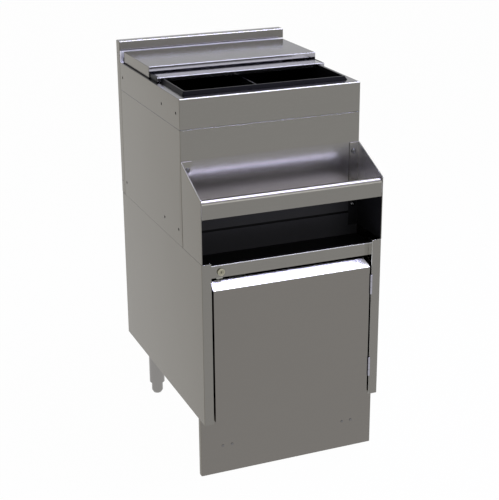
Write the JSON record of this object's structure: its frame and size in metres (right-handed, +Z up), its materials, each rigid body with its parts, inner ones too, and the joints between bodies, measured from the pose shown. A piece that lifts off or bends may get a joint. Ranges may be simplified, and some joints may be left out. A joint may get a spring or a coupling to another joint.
{
  "type": "underbar ice bin",
  "caption": "Underbar ice bin of satin stainless steel with sliding lids over a black insulated liner, a speed rail across the front and a lockable cabinet with a hinged door on levelling feet.",
  "frame": {"origin": "on the floor, under the middle of the bounding box", "axes": "+Z up, -Y towards the person at the door and the speed rail, +X to that person's right"},
  "size_m": [0.4572, 0.6146, 0.9674],
  "materials": {
    "satin_stainless": "satin",
    "zinc_plated": "satin",
    "nickel": "satin",
    "black_plastic": "satin",
    "grey_foam": "matte",
    "grey_pvc": "satin",
    "black_magnet": "matte"
  },
  "bodies": {
    "base": {"cabinet_side_left": "satin_stainless", "cabinet_side_right": "satin_stainless", "cabinet_back": "satin_stainless", "cabinet_floor": "satin_stainless", "header_rail": "satin_stainless", "shelf_tray": "black_plastic", "rail_cheek_left": "satin_stainless", "rail_cheek_right": "satin_stainless", "rail_trough": "satin_stainless", "rail_bolt_left_1": "zinc_plated", "rail_bolt_left_2": "zinc_plated", "rail_bolt_right_1": "zinc_plated", "rail_bolt_right_2": "zinc_plated", "chest_wrap": "satin_stainless", "chest_floor": "satin_stainless", "head_rim": "satin_stainless", "back_panel": "satin_stainless", "rear_cover": "satin_stainless", "foam_insulation": "grey_foam", "bin_liner": "black_plastic", "bin_divider": "black_plastic", "drain_fitting": "grey_pvc", "drain_nut": "grey_pvc", "drain_strainer": "satin_stainless", "door_magnet": "black_magnet", "catch_bracket": "zinc_plated", "hinge_frame_leaf_1": "satin_stainless", "hinge_frame_leaf_2": "satin_stainless", "hinge_pin_1": "satin_stainless", "hinge_pin_2": "satin_stainless", "lock_housing": "nickel", "lock_nut": "zinc_plated", "kick_plate": "satin_stainless", "kick_bracket_left": "zinc_plated", "kick_bracket_right": "zinc_plated", "kick_screw_left_1": "zinc_plated", "kick_screw_left_2": "zinc_plated", "kick_screw_right_1": "zinc_plated", "kick_screw_right_2": "zinc_plated", "leg_front_left": "satin_stainless", "leg_front_right": "satin_stainless", "leg_rear_left": "satin_stainless", "leg_rear_right": "satin_stainless"},
    "upper_lid": {"rear_lid": "satin_stainless", "rear_lid_glide_left": "black_plastic", "rear_lid_glide_right": "black_plastic"},
    "lower_lid": {"front_lid": "satin_stainless", "front_lid_runner_left": "black_plastic", "front_lid_runner_right": "black_plastic"},
    "door": {"door_skin": "satin_stainless", "door_liner": "satin_stainless", "strike_plate": "zinc_plated", "hinge_door_leaf_1": "satin_stainless", "hinge_door_leaf_2": "satin_stainless"},
    "lock": {"lock_plug": "nickel", "lock_cam": "zinc_plated"},
    "foot_fl": {"foot_front_left": "satin_stainless"},
    "foot_fr": {"foot_front_right": "satin_stainless"},
    "foot_rl": {"foot_rear_left": "satin_stainless"},
    "foot_rr": {"foot_rear_right": "satin_stainless"}
  },
  "joints": [
    {"name": "rear_lid_slide", "type": "slide", "parent": "base", "child": "upper_lid", "axis": [0, -1, 0], "range_m": [0, 0.21]},
    {"name": "front_lid_slide", "type": "slide", "parent": "base", "child": "lower_lid", "axis": [0, -1, 0], "range_m": [-0.07, 0.138]},
    {"name": "door_swing", "type": "hinge", "parent": "base", "child": "door", "pos_m": [0.2036, -0.30452, 0.3382], "axis": [0, 0, 1], "range_deg": [0, 120]},
    {"name": "lock_turn", "type": "hinge", "parent": "base", "child": "lock", "pos_m": [-0.175, -0.28232, 0.529], "axis": [0, -1, 0], "range_deg": [0, 90]},
    {"name": "foot_front_left_level", "type": "slide", "parent": "base", "child": "foot_fl", "axis": [0, 0, -1], "range_m": [0, 0.025]},
    {"name": "foot_front_right_level", "type": "slide", "parent": "base", "child": "foot_fr", "axis": [0, 0, -1], "range_m": [0, 0.025]},
    {"name": "foot_rear_left_level", "type": "slide", "parent": "base", "child": "foot_rl", "axis": [0, 0, -1], "range_m": [0, 0.025]},
    {"name": "foot_rear_right_level", "type": "slide", "parent": "base", "child": "foot_rr", "axis": [0, 0, -1], "range_m": [0, 0.025]}
  ]
}
